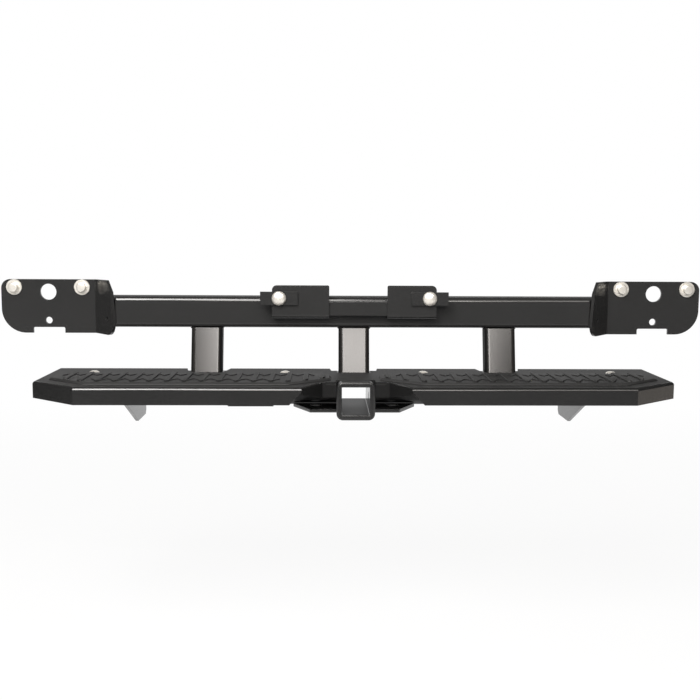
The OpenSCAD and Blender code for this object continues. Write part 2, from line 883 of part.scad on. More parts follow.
module at_step_bolts() {
    for (x = [-step_bolt_out_x, -step_bolt_in_x, step_bolt_in_x, step_bolt_out_x])
        translate([x, step_bolt_y, 0]) children();
}

module step_bolts() {
    shank = sheet_t + rail_t + step_nut_h + step_bolt_tail;
    color(zinc)
        at_step_bolts()
            translate([0, 0, step_top_z]) {
                domed_head(step_head_d, step_head_h);
                translate([0, 0, -shank]) cylinder(h = shank + cut, d = step_bolt_d);
            }
}

module step_nuts() {
    color(zinc)
        at_step_bolts()
            translate([0, 0, deck_z - rail_t]) nut(step_nut_af, step_nut_h, step_bolt_d);
}

// Folded bracket under the sheet for the trailer's wiring socket
module socket_bracket() {
    color(dark_coat)
        difference() {
            translate([-socket_x - socket_w / 2, socket_y, deck_z])
                rotate([90, 0, 90]) linear_extrude(socket_w)
                    difference() {
                        union() {
                            translate([0, -socket_drop]) square([socket_t, socket_drop]);
                            translate([0, -socket_t]) square([socket_tab, socket_t]);
                        }
                        rotate(-90) corner_cut(socket_t + 1);
                    }
            on_front(-socket_x, socket_y + socket_t + cut, socket_hole_z)
                linear_extrude(socket_t + 2 * cut) {
                    circle(d = socket_hole_d);
                    for (k = [-0.5, 0.5])
                        translate([k * socket_screw_pitch, 0]) circle(d = socket_screw_d);
                }
        }
}

crossbar();
end_bracket(-1);  // end_bracket_left
end_bracket(1);  // end_bracket_right
end_washers(-1);  // end_washers_left
end_washers(1);  // end_washers_right
end_bolts(-1);  // end_bolts_left
end_bolts(1);  // end_bolts_right
mount_bar();
centre_bracket(-1, centre_left_x);  // centre_bracket_left
centre_bracket(1, centre_right_x);  // centre_bracket_right
strap(-1);  // strap_left
strap(1);  // strap_right
strap_bolts();
strap_nuts();
post(-post_x);  // post_left
post(0);  // post_centre
post(post_x);  // post_right
receiver_tube();
receiver_collar();
chain_plate(-1);  // chain_plate_left
chain_plate(1);  // chain_plate_right
crossmember(-1);  // crossmember_left
crossmember(1);  // crossmember_right
gusset(-1);  // gusset_left
gusset(1);  // gusset_right
step_rail(-1);  // step_rail_left
step_rail(1);  // step_rail_right
step_plate();
tread_pad(-1);  // tread_pad_left
tread_pad(1);  // tread_pad_right
step_bolts();
step_nuts();
socket_bracket();
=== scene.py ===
import math

import bmesh
import bpy
from bpy.props import FloatProperty, FloatVectorProperty, IntProperty, PointerProperty
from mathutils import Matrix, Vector


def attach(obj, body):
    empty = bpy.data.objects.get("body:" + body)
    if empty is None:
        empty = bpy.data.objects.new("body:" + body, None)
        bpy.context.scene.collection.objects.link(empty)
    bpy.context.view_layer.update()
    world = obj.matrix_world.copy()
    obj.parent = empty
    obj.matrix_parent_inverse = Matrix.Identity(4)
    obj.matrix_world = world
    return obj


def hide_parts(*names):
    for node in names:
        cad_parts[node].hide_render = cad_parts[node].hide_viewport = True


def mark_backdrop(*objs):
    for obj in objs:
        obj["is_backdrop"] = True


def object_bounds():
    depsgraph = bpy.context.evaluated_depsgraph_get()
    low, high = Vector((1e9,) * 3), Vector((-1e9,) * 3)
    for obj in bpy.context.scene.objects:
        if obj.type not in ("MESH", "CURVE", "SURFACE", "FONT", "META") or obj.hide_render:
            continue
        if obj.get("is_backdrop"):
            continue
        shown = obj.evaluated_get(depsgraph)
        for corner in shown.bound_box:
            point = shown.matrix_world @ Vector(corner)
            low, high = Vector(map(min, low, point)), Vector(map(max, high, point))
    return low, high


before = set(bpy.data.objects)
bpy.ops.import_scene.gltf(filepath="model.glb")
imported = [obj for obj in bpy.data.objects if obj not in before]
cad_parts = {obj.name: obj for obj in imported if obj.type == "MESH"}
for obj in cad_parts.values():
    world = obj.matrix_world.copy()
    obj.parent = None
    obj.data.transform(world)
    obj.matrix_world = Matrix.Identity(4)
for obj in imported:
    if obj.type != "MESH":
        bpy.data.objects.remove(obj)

bl_info = {
    "name": "Hitch Step",
    "version": (1, 0, 0),
    "blender": (4, 5, 0),
    "location": "View3D > Sidebar > Hitch Step",
    "description": "Dresses a rear step with a receiver hitch around its packed solids",
    "category": "Object",
}

CAD_BOX = [list(corner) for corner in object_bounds()]
MM = 0.001
BODY = "root"

# How a copy of a solid is cleaned up before its edges are rounded
MERGE_GAP = 2e-6
SHEET_MERGE_GAP = 5e-4
FLAT_ANGLE = math.radians(0.4)
CREASE_ANGLE = math.radians(30)

# Camera that the photograph was measured with
CAMERA_PLACE = (-0.05484, -1.80754, 0.29671)
CAMERA_PITCH = 0.1155
CAMERA_YAW = 0.02499
CAMERA_ROLL = 0.00534
CAMERA_LENS = 50.0
CAMERA_SENSOR = 36.0

# The receiver in millimetres: mouth, half widths and corners of bore, tube and collar
MOUTH_Y = -63.5
BORE_HALF = 25.5
TUBE_HALF = 31.75
TUBE_CORNER = 6.5
COLLAR_HALF = 35.25
COLLAR_CORNER = 12.0
COLLAR_REAR_Y = -38.5

# Levels of the solids in millimetres: sheet top, crossbar and post feet
STEP_TOP_Z = 35.75
DECK_Z = 31.75
BAR_LOW_Z = 120.5
BAR_TOP_Z = 180.5
BAR_FRONT_Y = 85.0
BAR_REAR_Y = 145.0
POST_X = (-287.0, 0.0, 287.0)
POST_HALF = 30.0
POST_FOOT_Y = (65.0, 106.0)
POST_HEAD_Y = (85.0, 126.0)

# Reach of the recess's walls in millimetres
RECESS_HALF = 98.0
RECESS_FRONT_Y = -131.8
RECESS_REAR_Y = -60.0
RECESS_TOP_Z = 34.0

# Plan outline of the right tread pad in millimetres
PAD_OUTLINE = (
    (45.0, 5.5), (62.0, 32.5), (559.5, 32.5), (559.5, -40.5),
    (485.0, -101.5), (119.75, -101.5), (45.0, -42.5),
)


def millimetres(name, description, default, low, high):
    """A length that a user can change, kept in metres."""
    return FloatProperty(name=name, description=description, default=default * MM,
                         min=low * MM, max=high * MM, subtype="DISTANCE", unit="LENGTH",
                         precision=4)


def watts(name, description, default):
    """A lamp's power that a user can change."""
    return FloatProperty(name=name, description=description, default=default,
                         min=0.0, max=300.0, unit="POWER")


def colour(name, description, default):
    """A colour that a user can change."""
    return FloatVectorProperty(name=name, description=description, default=default,
                               min=0.0, max=1.0, size=3, subtype="COLOR")


def share(name, description, default):
    """A share from 0 to 1 that a user can change."""
    return FloatProperty(name=name, description=description, default=default,
                         min=0.0, max=1.0, subtype="FACTOR")


class StepSizes(bpy.types.PropertyGroup):
    """Sizes of the details that the solids don't have."""
    tube_edge: millimetres("Tube Edge", "Rounding of the tubes' cut edges", 0.8, 0.1, 2.0)
    plate_edge: millimetres("Plate Edge", "Rounding of the plates' edges", 0.7, 0.1, 2.0)
    rib_pitch: millimetres("Rib Pitch", "Distance from one rib of a pad to the next", 31.0, 24.0, 40.0)
    rib_width: millimetres("Rib Width", "Width of a rib", 9.0, 5.0, 12.0)
    rib_height: millimetres("Rib Height", "Height of a rib above its pad", 2.5, 1.0, 4.0)
    rib_count: IntProperty(name="Rib Count", description="Ribs on one pad", default=16, min=4, max=20)
    pad_height: millimetres("Pad Height", "Height of a pad above the sheet", 4.0, 2.0, 6.0)
    washer_width: millimetres("Washer Diameter", "Diameter of the end bolts' washers", 31.0, 26.0, 34.0)
    end_head_width: millimetres("End Head Diameter", "Diameter of the end bolts' heads", 19.0, 16.0, 22.0)
    strap_head_width: millimetres("Strap Head Diameter", "Diameter of the strap bolts' heads", 27.5, 20.0, 30.0)
    step_head_width: millimetres("Step Head Diameter", "Diameter of the step bolts' heads", 19.0, 14.0, 21.0)
    weld_width: millimetres("Weld Width", "Width of a weld bead", 4.0, 2.0, 8.0)


class StepFinishes(bpy.types.PropertyGroup):
    """Colours and gloss of the finishes."""
    frame_colour: colour("Frame Coat", "Powder coat of the tubes and rails", (0.020, 0.020, 0.020))
    sheet_colour: colour("Sheet Coat", "Powder coat of the step's sheet", (0.0125, 0.0125, 0.0125))
    plate_colour: colour("Plate Coat", "Powder coat of the plates and brackets", (0.019, 0.019, 0.019))
    post_colour: colour("Post Coat", "Powder coat of the posts", (0.016, 0.015, 0.014))
    # Painted shade: a near-black colour that stands in for the shade inside the recess and on the posts'
    # turned-away sides
    painted_shade_colour: colour("Painted Shade Coat", "Dull coat inside the recess and round the posts", (0.007, 0.007, 0.007))
    rubber_colour: colour("Rubber", "Moulded rubber of the tread pads", (0.014, 0.014, 0.014))
    zinc_colour: colour("Zinc", "Plating of the bolts and washers", (0.79, 0.78, 0.755))
    frame_roughness: share("Frame Roughness", "Roughness of the frame's coat", 0.17)
    plate_roughness: share("Plate Roughness", "Roughness of the plates' coat", 0.20)
    post_roughness: share("Post Roughness", "Roughness of the posts' coat", 0.15)
    top_roughness: share("Top Roughness", "Roughness of level tops, where dust has settled", 0.58)
    bore_roughness: share("Bore Roughness", "Roughness of the receiver's lower inside", 0.48)
    collar_roughness: share("Collar Roughness", "Roughness of the collar's coat", 0.30)
    coat_reflection: share("Coat Reflection", "Strength of the coats' reflections", 0.6)


class StepStage(bpy.types.PropertyGroup):
    """Floor, backdrop and lamps."""
    floor_colour: colour("Floor", "Colour of the floor and the backdrop", (0.92, 0.92, 0.92))
    floor_drop: millimetres("Floor Drop", "Distance from the step's feet to the floor", 420.0, 0.0, 900.0)
    key_power: watts("Key Power", "Power of the lamp above the camera", 22.5)
    left_power: watts("Left Power", "Power of the high lamp on the left", 92.0)
    middle_power: watts("Middle Power", "Power of the high lamp left of the middle", 48.0)
    right_power: watts("Right Power", "Power of the high lamp on the right", 15.0)
    front_power: watts("Front Power", "Power of the wide, dim lamp low in front", 1.2)
    side_power: watts("Side Power", "Power of the small, warm lamp on the right", 0.9)
    air: share("Air", "Strength of the grey light from all around", 0.045)


class Value:
    """A number socket of a node tree. Sums written with it add Math nodes."""

    def __init__(self, graph, socket):
        self.graph = graph
        self.socket = socket

    def maths(self, operation, first, second):
        return self.graph.number("ShaderNodeMath", {"operation": operation}, {0: first, 1: second})

    def __add__(self, other):
        return self.maths("ADD", self, other)

    def __radd__(self, other):
        return self.maths("ADD", other, self)

    def __sub__(self, other):
        return self.maths("SUBTRACT", self, other)

    def __rsub__(self, other):
        return self.maths("SUBTRACT", other, self)

    def __mul__(self, other):
        return self.maths("MULTIPLY", self, other)

    def __rmul__(self, other):
        return self.maths("MULTIPLY", other, self)

    def __truediv__(self, other):
        return self.maths("DIVIDE", self, other)

    def __rtruediv__(self, other):
        return self.maths("DIVIDE", other, self)

    def __pow__(self, other):
        return self.maths("POWER", self, other)

    def __lt__(self, other):
        return self.maths("LESS_THAN", self, other)

    def __gt__(self, other):
        return self.maths("GREATER_THAN", self, other)

    def at_least(self, other):
        return self.maths("MAXIMUM", self, other)

    def at_most(self, other):
        return self.maths("MINIMUM", self, other)


class Graph:
    """A node tree, shader or geometry, with one method that adds a node."""

    def __init__(self, tree):
        self.tree = tree

    def add(self, kind, settings=None, inputs=None):
        """Adds a node: its settings first, then its sockets' values and links."""
        node = self.tree.nodes.new(kind)
        for name, setting in (settings or {}).items():
            if name == "stops":
                ramp = node.color_ramp
                for place, shade in setting[2:]:
                    ramp.elements.new(place)
                for element, (place, shade) in zip(ramp.elements, setting):
                    element.position = place
                    element.color = shade
            else:
                setattr(node, name, setting)
        for name, value in (inputs or {}).items():
            socket = node.inputs[name]
            if isinstance(value, Value):
                value = value.socket
            if isinstance(value, bpy.types.NodeSocket):
                self.tree.links.new(value, socket)
            else:
                socket.default_value = value
        return node

    def number(self, kind, settings=None, inputs=None, output=0):
        """Adds a node and returns one of its outputs for sums."""
        return Value(self, self.add(kind, settings, inputs).outputs[output])

    def mix_colour(self, factor, first, second, blend="MIX"):
        """Adds a colour Mix node and returns its colour."""
        node = self.add("ShaderNodeMix", {"data_type": "RGBA", "blend_type": blend},
                        {0: factor, 6: first, 7: second})
        return node.outputs[2]


def opaque(rgb, factor=1.0):
    """A socket's colour from a stored colour, made lighter or darker."""
    return (rgb[0] * factor, rgb[1] * factor, rgb[2] * factor, 1.0)


def new_material(name):
    """An empty material, its graph and its object coordinates."""
    material = bpy.data.materials.new(name)
    material.use_nodes = True
    material.node_tree.nodes.clear()
    graph = Graph(material.node_tree)
    place = graph.add("ShaderNodeTexCoord").outputs["Object"]
    return material, graph, place


def close_material(graph, sockets):
    """Ends a material with its shader and output."""
    shader = graph.add("ShaderNodeBsdfPrincipled", None, sockets)
    graph.add("ShaderNodeOutputMaterial", None, {"Surface": shader.outputs["BSDF"]})


def powder_coat(name, rgb, roughness, peel, top):
    """Powder coat: a fine orange peel, slow changes of shade and gloss, and dull level tops."""
    material, graph, place = new_material(name)
    close_material(graph, coat_sockets(graph, place, rgb, roughness, peel, top))
    return material


def coat_sockets(graph, place, rgb, roughness, peel, top):
    """The shader sockets of a powder coat, with the roughness of its level tops."""
    drift = graph.number("ShaderNodeTexNoise", None,
                         {"Vector": place, "Scale": 7.0, "Detail": 3.0, "Roughness": 0.5})
    speck = graph.number("ShaderNodeTexNoise", None,
                         {"Vector": place, "Scale": 900.0, "Detail": 2.0, "Roughness": 0.6})
    skin = graph.number("ShaderNodeTexNoise", None,
                        {"Vector": place, "Scale": 420.0, "Detail": 2.0, "Roughness": 0.45})
    facing = graph.add("ShaderNodeTexCoord").outputs["Normal"]
    upward = Value(graph, graph.add("ShaderNodeSeparateXYZ", None, {0: facing}).outputs[2])
    dust = ((upward - 0.95) * 25.0 + drift * 0.2).at_least(0.0).at_most(1.0)
    tint = graph.mix_colour(drift * 0.6 + speck * 0.4, opaque(rgb, 0.82), opaque(rgb, 1.18))
    bump = graph.add("ShaderNodeBump", None,
                     {"Height": skin, "Strength": peel, "Distance": 0.0002})
    return {
        "Base Color": tint,
        "Roughness": roughness - 0.03 + drift * 0.04 + speck * 0.02
                     + dust * (top - roughness),
        "Specular IOR Level": bpy.context.scene.step_finishes.coat_reflection,
        "Normal": bump.outputs["Normal"],
    }


def close_coat_with_painted_shade(graph, place, painted_shade_share, sockets):
    """Ends a material that is a coat with these sockets, and painted shade, a near-black dull coat, where the
    share is 1.
    """
    coat = graph.add("ShaderNodeBsdfPrincipled", None, sockets)
    grain = graph.number("ShaderNodeTexNoise", None, {"Vector": place, "Scale": 300.0, "Detail": 2.0})
    # Painted shade: a near-black, dull coat that the share mixes in
    shade_rgb = bpy.context.scene.step_finishes.painted_shade_colour
    dull = graph.add("ShaderNodeBsdfPrincipled", None, {
        "Base Color": graph.mix_colour(grain, opaque(shade_rgb, 0.8), opaque(shade_rgb, 1.2)),
        "Roughness": 0.5 + grain * 0.2, "Specular IOR Level": 0.1})
    mixed = graph.add("ShaderNodeMixShader", None, {0: painted_shade_share, 1: coat.outputs[0], 2: dull.outputs[0]})
    graph.add("ShaderNodeOutputMaterial", None, {"Surface": mixed.outputs[0]})


def recessed_coat(name, rgb, roughness, peel, top):
    """The sheet's powder coat, with painted shade on the walls of the recess."""
    material, graph, place = new_material(name)
    x, y, z = [Value(graph, part) for part in graph.add("ShaderNodeSeparateXYZ", None, {0: place}).outputs]
    # Painted shade: a box round the recess where the near-black dull coat replaces the gloss
    inside = ((x > -RECESS_HALF * MM) * (x < RECESS_HALF * MM) * (y > RECESS_FRONT_Y * MM)
              * (y < RECESS_REAR_Y * MM) * (z < RECESS_TOP_Z * MM))
    close_coat_with_painted_shade(graph, place, inside, coat_sockets(graph, place, rgb, roughness, peel, top))
    return material


def post_coat(name, rgb, roughness, peel, top):
    """The posts' powder coat, with painted shade round their sides."""
    material, graph, place = new_material(name)
    facing = graph.add("ShaderNodeTexCoord").outputs["Normal"]
    across = Value(graph, graph.add("ShaderNodeSeparateXYZ", None, {0: facing}).outputs[0])
    # Painted shade: faces turned sideways get the near-black dull coat
    round_side = ((across * across - 0.25) * 5.0).at_least(0.0).at_most(1.0)
    close_coat_with_painted_shade(graph, place, round_side, coat_sockets(graph, place, rgb, roughness, peel, top))
    return material


def moulded_rubber(name, rgb):
    """Moulded rubber: a fine leathery grain and pores, with slow changes of tone."""
    material, graph, place = new_material(name)
    grain = graph.number("ShaderNodeTexNoise", None,
                         {"Vector": place, "Scale": 1100.0, "Detail": 3.0, "Roughness": 0.65})
    pores = graph.number("ShaderNodeTexVoronoi", None, {"Vector": place, "Scale": 650.0})
    cloud = graph.number("ShaderNodeTexNoise", None,
                         {"Vector": place, "Scale": 14.0, "Detail": 4.0, "Roughness": 0.55})
    tint = graph.mix_colour(cloud * 0.7 + grain * 0.3, opaque(rgb, 0.7), opaque(rgb, 1.5))
    bump = graph.add("ShaderNodeBump", None,
                     {"Height": grain * 0.6 + pores * 0.4, "Strength": 0.35, "Distance": 0.0003})
    close_material(graph, {
        "Base Color": tint,
        "Roughness": 0.48 + cloud * 0.16,
        "Specular IOR Level": 0.5,
        "Normal": bump.outputs["Normal"],
    })
    return material


def zinc_plate(name, rgb):
    """Zinc plating: pale, softly mottled, with a faint warm passivation."""
    material, graph, place = new_material(name)
    mottle = graph.number("ShaderNodeTexNoise", None,
                          {"Vector": place, "Scale": 160.0, "Detail": 4.0, "Roughness": 0.6})
    spangle = graph.number("ShaderNodeTexVoronoi", None, {"Vector": place, "Scale": 420.0})
    warm = (rgb[0] * 0.98, rgb[1] * 0.93, rgb[2] * 0.84)
    tint = graph.mix_colour(mottle * 0.8 + spangle * 0.2, opaque(rgb, 1.04), opaque(warm))
    bump = graph.add("ShaderNodeBump", None,
                     {"Height": mottle, "Strength": 0.12, "Distance": 0.0002})
    close_material(graph, {
        "Base Color": tint,
        "Metallic": 0.62 + mottle * 0.1,
        "Roughness": 0.28 + mottle * 0.14,
        "Normal": bump.outputs["Normal"],
    })
    return material


def studio_white(name, rgb, plain):
    """Floor and backdrop: white to the camera, glass and gloss, and still holding a shadow."""
    material, graph, place = new_material(name)
    cloud = graph.number("ShaderNodeTexNoise", None, {"Vector": place, "Scale": 0.7})
    tint = graph.mix_colour(cloud, opaque(rgb, 0.99), opaque(rgb, 1.01))
    matte = graph.add("ShaderNodeBsdfDiffuse", None, {"Color": tint})
    glow = graph.add("ShaderNodeEmission", None, {"Color": (1.0, 1.0, 1.0, 1.0), "Strength": 1.0})
    ray = graph.add("ShaderNodeLightPath")
    far = Value(graph, graph.add("ShaderNodeSeparateXYZ", None, {0: place}).outputs[1])
    whiter = ((far - 0.6) * 0.5).at_least(0.0).at_most(1.0) * (1.0 - plain) + plain
    seen = Value(graph, ray.outputs["Is Camera Ray"]).at_least(
        Value(graph, ray.outputs["Is Glossy Ray"])).at_least(
        Value(graph, ray.outputs["Is Transmission Ray"]))
    mixed = graph.add("ShaderNodeMixShader", None,
                      {0: seen * whiter, 1: matte.outputs[0], 2: glow.outputs[0]})
    graph.add("ShaderNodeOutputMaterial", None, {"Surface": mixed.outputs[0]})
    return material


def finish(name):
    """The finish of that name, made the first time it is asked for."""
    made = bpy.data.materials.get(name)
    if made:
        return made
    look = bpy.context.scene.step_finishes
    if name == "frame_coat_gloss":
        return powder_coat(name, look.frame_colour, look.frame_roughness, 0.06, look.top_roughness)
    if name == "tube_coat_gloss":
        return powder_coat(name, look.sheet_colour, look.frame_roughness, 0.06, look.bore_roughness)
    if name == "collar_coat_gloss":
        return powder_coat(name, look.sheet_colour, look.collar_roughness, 0.06, look.top_roughness)
    if name == "sheet_coat_gloss":
        return recessed_coat(name, look.sheet_colour, look.frame_roughness, 0.06, look.top_roughness)
    if name == "plate_coat_gloss":
        return powder_coat(name, look.plate_colour, look.plate_roughness, 0.08, look.top_roughness)
    if name == "post_coat_gloss":
        return post_coat(name, look.post_colour, look.post_roughness, 0.04, look.top_roughness)
    if name == "pad_rubber_moulded":
        return moulded_rubber(name, look.rubber_colour)
    if name == "zinc_bright":
        return zinc_plate(name, look.zinc_colour)
    raise RuntimeError("There is no finish named " + name)


# Each slot of the record with the finish that dresses it
FINISH_OF_SLOT = {
    "frame_coat": "frame_coat_gloss",
    "plate_coat": "plate_coat_gloss",
    "post_coat": "post_coat_gloss",
    "pad_rubber": "pad_rubber_moulded",
    "zinc": "zinc_bright",
}


def add_object(name, mesh):
    """Puts a mesh in the scene as an object at the origin."""
    piece = bpy.data.objects.new(name, mesh)
    bpy.context.scene.collection.objects.link(piece)
    return piece


def mesh_of(name, work):
    """Turns a bmesh into a mesh with faces that point outwards."""
    bmesh.ops.remove_doubles(work, verts=work.verts, dist=MERGE_GAP)
    bmesh.ops.recalc_face_normals(work, faces=work.faces)
    mesh = bpy.data.meshes.new(name)
    work.to_mesh(mesh)
    work.free()
    return mesh


def dress(piece, name):
    """Gives a piece the one finish of that name."""
    piece.data.materials.clear()
    piece.data.materials.append(finish(name))


def settle(piece, slot, *nodes):
    """Gives a finished piece the finish of its slot, puts it in its body and hides the solids that it stands
    for.
    """
    dress(piece, FINISH_OF_SLOT[slot])
    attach(piece, BODY)
    if nodes:
        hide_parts(*nodes)
    return piece


def round_edges(piece, width, segments=2):
    """Rounds a piece's sharp edges, and keeps its flat faces flat to the light."""
    bevel = piece.modifiers.new("Rounded edges", "BEVEL")
    bevel.width = width
    bevel.segments = segments
    bevel.limit_method = "ANGLE"
    bevel.angle_limit = CREASE_ANGLE
    bevel.use_clamp_overlap = True
    normals = piece.modifiers.new("Flat faces", "WEIGHTED_NORMAL")
    normals.keep_sharp = True
    normals.weight = 50


def soften(work, chosen, width, segments=4):
    """Rounds the sharp edges whose two ends are both chosen."""
    edges = [edge for edge in work.edges if edge.calc_face_angle(0.0) > CREASE_ANGLE
             and all(chosen(*(end.co / MM)) for end in edge.verts)]
    bmesh.ops.bevel(work, geom=edges, offset=width * MM, segments=segments, profile=0.5,
                    affect="EDGES", clamp_overlap=True)


def coated(node, slot, edge, chosen=None, width=0.0, merge=MERGE_GAP):
    """A copy of a solid with merged corners, whole flat faces and rounded edges.

    The edges that are chosen are rounded by this width first. Corners closer than the
    merge distance become one, because the shortest edge limits the rounding of all.
    """
    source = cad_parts[node].data
    loose = bpy.data.meshes.new(node + "_loose")
    loose.from_pydata([v.co for v in source.vertices], [], [p.vertices for p in source.polygons])
    work = bmesh.new()
    work.from_mesh(loose)
    bmesh.ops.remove_doubles(work, verts=work.verts, dist=merge)
    if chosen:
        soften(work, chosen, width)
    bmesh.ops.dissolve_limit(work, angle_limit=FLAT_ANGLE, verts=work.verts, edges=work.edges)
    mesh = bpy.data.meshes.new(node + "_finished")
    work.to_mesh(mesh)
    work.free()
    bpy.data.meshes.remove(loose)
    mesh.shade_smooth()
    piece = add_object(node + "_finished", mesh)
    round_edges(piece, edge)
    return settle(piece, slot, node)


def geometry_tree(name, sockets):
    """A Geometry Nodes tree with named inputs, its graph and its input node."""
    tree = bpy.data.node_groups.new(name, "GeometryNodeTree")
    face = tree.interface
    face.new_socket(name="Geometry", in_out="INPUT", socket_type="NodeSocketGeometry")
    for label, kind in sockets:
        face.new_socket(name=label, in_out="INPUT", socket_type="NodeSocket" + kind)
    face.new_socket(name="Geometry", in_out="OUTPUT", socket_type="NodeSocketGeometry")
    graph = Graph(tree)
    return graph, graph.add("NodeGroupInput").outputs


def close_tree(graph, geometry, material):
    """Ends a tree with real geometry in its material."""
    real = graph.add("GeometryNodeRealizeInstances", None, {"Geometry": geometry})
    dressed = graph.add("GeometryNodeSetMaterial", None,
                        {"Geometry": real.outputs[0], "Material": material})
    graph.add("NodeGroupOutput", None, {0: dressed.outputs[0]})


def grow(piece, graph, values):
    """Runs a tree on a piece with these values and keeps the result as its plain mesh."""
    modifier = piece.modifiers.new("Build", "NODES")
    modifier.node_group = graph.tree
    for item in graph.tree.interface.items_tree:
        if item.in_out == "INPUT" and item.name in values:
            modifier[item.identifier] = values[item.name]
    lookup = bpy.context.evaluated_depsgraph_get()
    mesh = bpy.data.meshes.new_from_object(piece.evaluated_get(lookup))
    piece.modifiers.remove(modifier)
    piece.data = mesh
    return piece


def row_tree():
    """Copies of the piece's own mesh in a row along X."""
    graph, given = geometry_tree("Row of ribs", (
        ("Count", "Int"), ("Pitch", "Float"), ("First X", "Float"), ("Middle Y", "Float"),
        ("Front Y", "Float"), ("Rear Y", "Float"), ("Half Length", "Float"),
        ("Inner X", "Float"), ("Inner Slope", "Float"), ("Outer X", "Float"), ("Outer Slope", "Float"),
        ("Heel X", "Float"), ("Heel Slope", "Float"), ("Stretch", "Float"), ("Material", "Material")))
    value = {name: Value(graph, given[name]) for name in (
        "Pitch", "First X", "Middle Y", "Front Y", "Rear Y", "Half Length", "Inner X",
        "Inner Slope", "Outer X", "Outer Slope", "Heel X", "Heel Slope", "Stretch")}
    start = graph.add("ShaderNodeCombineXYZ", None, {0: value["First X"], 1: value["Middle Y"]})
    step = graph.add("ShaderNodeCombineXYZ", None, {0: value["Pitch"]})
    line = graph.add("GeometryNodeMeshLine", {"mode": "OFFSET"}, {
        "Count": given["Count"], "Start Location": start.outputs[0], "Offset": step.outputs[0]})
    copies = graph.add("GeometryNodeInstanceOnPoints", None, {
        "Points": line.outputs[0], "Instance": given["Geometry"]})
    real = graph.add("GeometryNodeRealizeInstances", None, {"Geometry": copies.outputs[0]})
    spot = graph.add("ShaderNodeSeparateXYZ", None, {
        0: graph.add("GeometryNodeInputPosition").outputs[0]})
    x = Value(graph, spot.outputs[0])
    y = Value(graph, spot.outputs[1])
    inner = value["Front Y"] + (value["Inner X"] - x) * value["Inner Slope"]
    outer = value["Front Y"] + (x - value["Outer X"]) * value["Outer Slope"]
    front = inner.at_least(outer).at_least(value["Front Y"])
    rear = (value["Rear Y"] + (x - value["Heel X"]) * value["Heel Slope"]).at_most(value["Rear Y"])
    at_front = y < value["Middle Y"]
    front_shift = front + value["Half Length"] - value["Middle Y"]
    rear_shift = rear - value["Half Length"] - value["Middle Y"]
    shift = (at_front * front_shift + (1.0 - at_front) * rear_shift) * value["Stretch"]
    moved = graph.add("GeometryNodeSetPosition", None, {
        "Geometry": real.outputs[0],
        "Offset": graph.add("ShaderNodeCombineXYZ", None, {1: shift}).outputs[0]})
    close_tree(graph, moved.outputs[0], given["Material"])
    return graph


def fastener_tree():
    """One copy of a fastener on each point of the piece's mesh."""
    graph, given = geometry_tree("Fasteners on points", (
        ("Fastener", "Object"), ("Size", "Float"), ("Material", "Material")))
    model = graph.add("GeometryNodeObjectInfo", None, {"Object": given["Fastener"]})
    copies = graph.add("GeometryNodeInstanceOnPoints", None, {
        "Points": given["Geometry"], "Instance": model.outputs["Geometry"], "Scale": given["Size"]})
    close_tree(graph, copies.outputs[0], given["Material"])
    return graph


def weld_tree():
    """A rippled bead along each line of the piece's mesh."""
    graph, given = geometry_tree("Weld bead along lines", (
        ("Width", "Float"), ("Ripple", "Float"), ("Step", "Float"), ("Material", "Material")))
    width = Value(graph, given["Width"])
    ripple = Value(graph, given["Ripple"])
    line = graph.add("GeometryNodeMeshToCurve", None, {"Mesh": given["Geometry"]})
    fine = graph.add("GeometryNodeResampleCurve", {"mode": "LENGTH"}, {
        "Curve": line.outputs[0], "Length": given["Step"]})
    along = graph.number("GeometryNodeSplineParameter", output=1)
    wave = graph.number("ShaderNodeMath", {"operation": "SINE"}, {0: along / ripple * math.tau})
    sway = graph.number("ShaderNodeTexNoise", None, {"Scale": 40.0, "Detail": 1.0})
    radius = 0.86 + wave * 0.08 + sway * 0.12
    sized = graph.add("GeometryNodeSetCurveRadius", None, {"Curve": fine.outputs[0], "Radius": radius})
    ring = graph.add("GeometryNodeCurvePrimitiveCircle", None, {"Resolution": 8, "Radius": width * 0.5})
    bead = graph.add("GeometryNodeCurveToMesh", None, {
        "Curve": sized.outputs[0], "Profile Curve": ring.outputs[0], "Fill Caps": True})
    smooth = graph.add("GeometryNodeSetShadeSmooth", None, {0: bead.outputs[0]})
    close_tree(graph, smooth.outputs[0], given["Material"])
    return graph


def turned(name, profile, sides=40):
    """A round part turned about Z from (radius, height) pairs in millimetres, its ends on the axis."""
    work = bmesh.new()
    rings = []
    for radius, height in profile:
        if radius == 0.0:
            rings.append([work.verts.new((0.0, 0.0, height * MM))])
            continue
        rings.append([work.verts.new((radius * MM * math.cos(math.tau * k / sides),
                                      radius * MM * math.sin(math.tau * k / sides), height * MM))
                      for k in range(sides)])
    for low, high in zip(rings, rings[1:]):
        for k in range(sides):
            around = (k + 1) % sides
            corners = [low[k % len(low)], low[around % len(low)],
                       high[around % len(high)], high[k % len(high)]]
            work.faces.new(list(dict.fromkeys(corners)))
    mesh = mesh_of(name, work)
    mesh.shade_smooth()
    mesh.set_sharp_from_angle(angle=math.radians(38))
    return mesh


def dome_profile(width, height, hem):
    """Profile of a domed head from its seat to its crown: a short straight hem, then an arc."""
    half = width / 2
    rise = height - hem
    arc = [(half * math.cos(math.radians(a)), hem + rise * math.sin(math.radians(a)))
           for a in range(0, 90, 10)]
    return [(half, 0.0)] + arc + [(0.0, height)]


def layered(name, outlines):
    """A closed block from outlines of equal length, each ((x, y) points, height) in millimetres."""
    work = bmesh.new()
    rings = [[work.verts.new((x * MM, y * MM, z * MM)) for x, y in points] for points, z in outlines]
    work.faces.new(list(reversed(rings[0])))
    work.faces.new(rings[-1])
    count = len(rings[0])
    for low, high in zip(rings, rings[1:]):
        for k in range(count):
            around = (k + 1) % count
            work.faces.new([low[k], low[around], high[around], high[k]])
    return mesh_of(name, work)


